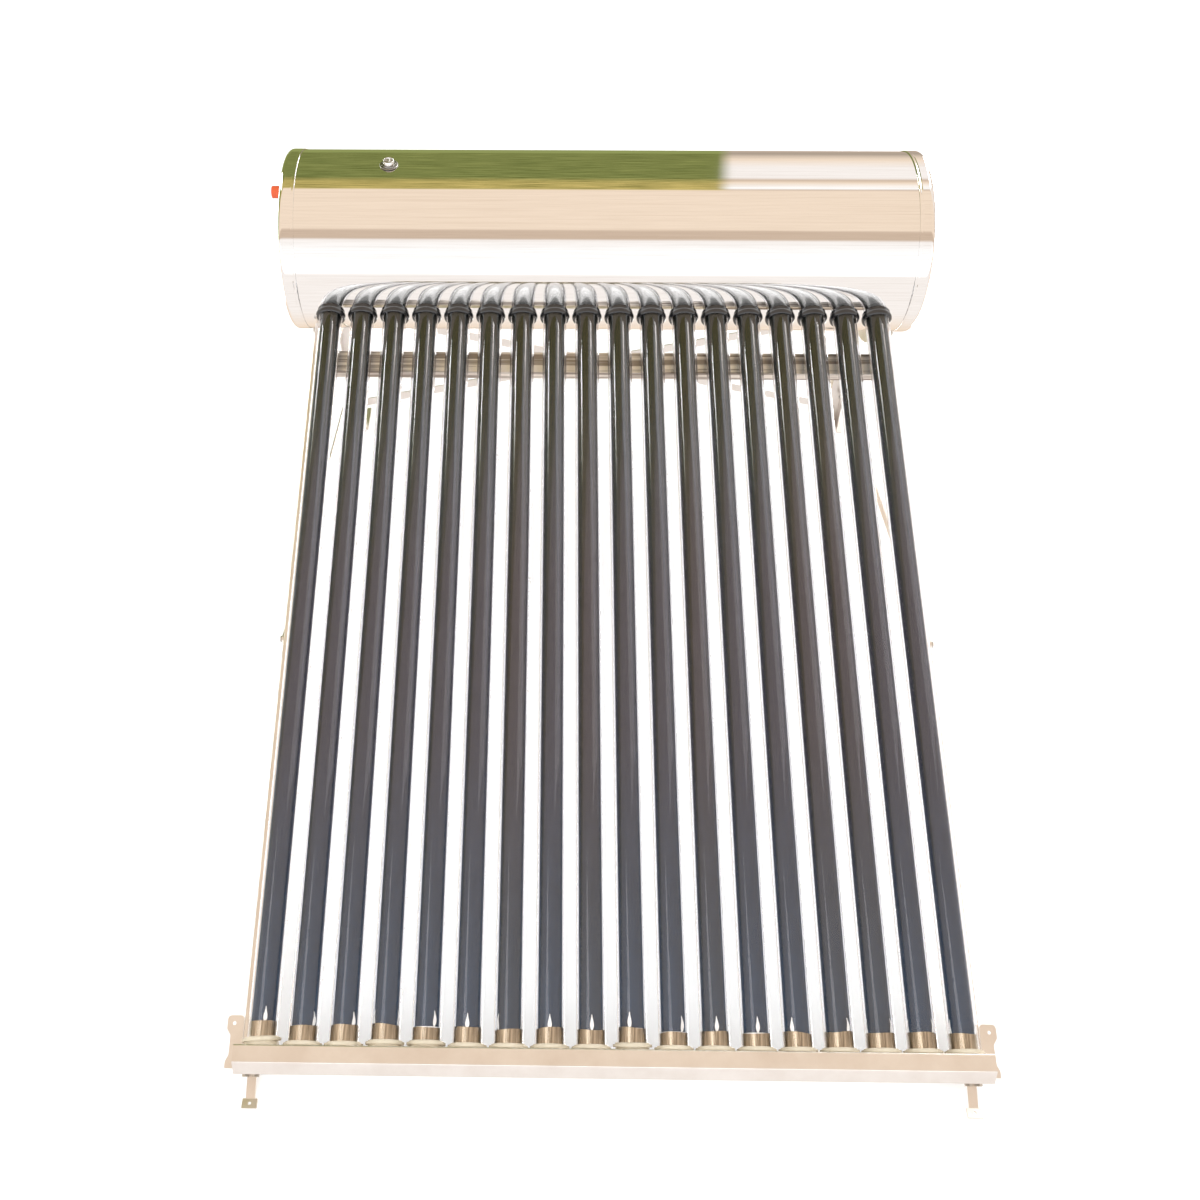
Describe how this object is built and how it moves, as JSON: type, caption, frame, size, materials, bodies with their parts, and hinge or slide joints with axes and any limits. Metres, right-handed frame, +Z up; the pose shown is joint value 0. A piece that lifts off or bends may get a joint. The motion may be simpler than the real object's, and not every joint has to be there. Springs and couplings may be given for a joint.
{
  "type": "solar water heater",
  "caption": "Low-tilt solar water heater: a horizontal insulated tank, a row of evacuated glass tubes running down to a bottom tray, and a bolted stainless frame.",
  "frame": {"origin": "on the ground, under the middle of the whole heater", "axes": "+Z up; +X to the right across the row of tubes, along the tank; the tubes run down towards -Y"},
  "size_m": [1.66, 2.1618, 0.9446],
  "materials": {
    "tube_glass": "clear borosilicate over a dark selective coating",
    "polished_steel": "mirror-polished stainless",
    "tank_steel": "mill stainless",
    "foam": "cut polyurethane foam",
    "seal_rubber": "silicone",
    "dust_rubber": "glossy rubber",
    "pipe_steel": "machined stainless",
    "grommet_plastic": "moulded",
    "cup_plastic": "moulded nylon",
    "red_plastic": "soft moulded",
    "frame_steel": "bright stainless sheet",
    "bolt_steel": "zinc-plated"
  },
  "bodies": {
    "heater": {"anchor_lug_left": "frame_steel", "anchor_lug_right": "frame_steel", "brace_strip_front": "frame_steel", "brace_strip_rear": "frame_steel", "cold_inlet_nipple": "pipe_steel", "dust_rings": "dust_rubber", "end_cap_left": "polished_steel", "end_cap_right": "polished_steel", "frame_bolts": "bolt_steel", "frame_nuts": "bolt_steel", "front_foot_left": "frame_steel", "front_foot_right": "frame_steel", "hot_outlet_nipple": "pipe_steel", "inner_tank": "tank_steel", "insulation_foam": "foam", "outer_shell": "polished_steel", "port_grommets": "grommet_plastic", "rear_foot_left": "frame_steel", "rear_foot_right": "frame_steel", "rear_leg_left": "frame_steel", "rear_leg_right": "frame_steel", "saddle_left": "frame_steel", "saddle_right": "frame_steel", "side_brace_left": "frame_steel", "side_brace_right": "frame_steel", "side_rail_left": "frame_steel", "side_rail_right": "frame_steel", "tail_cups": "cup_plastic", "tube_seals": "seal_rubber", "tube_tray": "frame_steel", "upper_cross_rail": "frame_steel", "vent_nipple": "pipe_steel", "vent_washer": "pipe_steel"},
    "tube_01": {"evacuated_tube_01": "tube_glass"},
    "tube_02": {"evacuated_tube_02": "tube_glass"},
    "tube_03": {"evacuated_tube_03": "tube_glass"},
    "tube_04": {"evacuated_tube_04": "tube_glass"},
    "tube_05": {"evacuated_tube_05": "tube_glass"},
    "tube_06": {"evacuated_tube_06": "tube_glass"},
    "tube_07": {"evacuated_tube_07": "tube_glass"},
    "tube_08": {"evacuated_tube_08": "tube_glass"},
    "tube_09": {"evacuated_tube_09": "tube_glass"},
    "tube_10": {"evacuated_tube_10": "tube_glass"},
    "tube_11": {"evacuated_tube_11": "tube_glass"},
    "tube_12": {"evacuated_tube_12": "tube_glass"},
    "tube_13": {"evacuated_tube_13": "tube_glass"},
    "tube_14": {"evacuated_tube_14": "tube_glass"},
    "tube_15": {"evacuated_tube_15": "tube_glass"},
    "tube_16": {"evacuated_tube_16": "tube_glass"},
    "tube_17": {"evacuated_tube_17": "tube_glass"},
    "tube_18": {"evacuated_tube_18": "tube_glass"},
    "port_cap_left": {"port_cap_left": "red_plastic"},
    "port_cap_right": {"port_cap_right": "red_plastic"}
  },
  "joints": [
    {"name": "tube_01_slide", "type": "slide", "parent": "heater", "child": "tube_01", "axis": [0, 0.9511, 0.309], "range_m": [0, 0.028]},
    {"name": "tube_02_slide", "type": "slide", "parent": "heater", "child": "tube_02", "axis": [0, 0.9511, 0.309], "range_m": [0, 0.028]},
    {"name": "tube_03_slide", "type": "slide", "parent": "heater", "child": "tube_03", "axis": [0, 0.9511, 0.309], "range_m": [0, 0.028]},
    {"name": "tube_04_slide", "type": "slide", "parent": "heater", "child": "tube_04", "axis": [0, 0.9511, 0.309], "range_m": [0, 0.028]},
    {"name": "tube_05_slide", "type": "slide", "parent": "heater", "child": "tube_05", "axis": [0, 0.9511, 0.309], "range_m": [0, 0.028]},
    {"name": "tube_06_slide", "type": "slide", "parent": "heater", "child": "tube_06", "axis": [0, 0.9511, 0.309], "range_m": [0, 0.028]},
    {"name": "tube_07_slide", "type": "slide", "parent": "heater", "child": "tube_07", "axis": [0, 0.9511, 0.309], "range_m": [0, 0.028]},
    {"name": "tube_08_slide", "type": "slide", "parent": "heater", "child": "tube_08", "axis": [0, 0.9511, 0.309], "range_m": [0, 0.028]},
    {"name": "tube_09_slide", "type": "slide", "parent": "heater", "child": "tube_09", "axis": [0, 0.9511, 0.309], "range_m": [0, 0.028]},
    {"name": "tube_10_slide", "type": "slide", "parent": "heater", "child": "tube_10", "axis": [0, 0.9511, 0.309], "range_m": [0, 0.028]},
    {"name": "tube_11_slide", "type": "slide", "parent": "heater", "child": "tube_11", "axis": [0, 0.9511, 0.309], "range_m": [0, 0.028]},
    {"name": "tube_12_slide", "type": "slide", "parent": "heater", "child": "tube_12", "axis": [0, 0.9511, 0.309], "range_m": [0, 0.028]},
    {"name": "tube_13_slide", "type": "slide", "parent": "heater", "child": "tube_13", "axis": [0, 0.9511, 0.309], "range_m": [0, 0.028]},
    {"name": "tube_14_slide", "type": "slide", "parent": "heater", "child": "tube_14", "axis": [0, 0.9511, 0.309], "range_m": [0, 0.028]},
    {"name": "tube_15_slide", "type": "slide", "parent": "heater", "child": "tube_15", "axis": [0, 0.9511, 0.309], "range_m": [0, 0.028]},
    {"name": "tube_16_slide", "type": "slide", "parent": "heater", "child": "tube_16", "axis": [0, 0.9511, 0.309], "range_m": [0, 0.028]},
    {"name": "tube_17_slide", "type": "slide", "parent": "heater", "child": "tube_17", "axis": [0, 0.9511, 0.309], "range_m": [0, 0.028]},
    {"name": "tube_18_slide", "type": "slide", "parent": "heater", "child": "tube_18", "axis": [0, 0.9511, 0.309], "range_m": [0, 0.028]},
    {"name": "port_cap_left_pull", "type": "slide", "parent": "heater", "child": "port_cap_left", "axis": [-1, 0, 0], "range_m": [0, 0.035]},
    {"name": "port_cap_right_pull", "type": "slide", "parent": "heater", "child": "port_cap_right", "axis": [1, 0, 0], "range_m": [0, 0.035]}
  ]
}
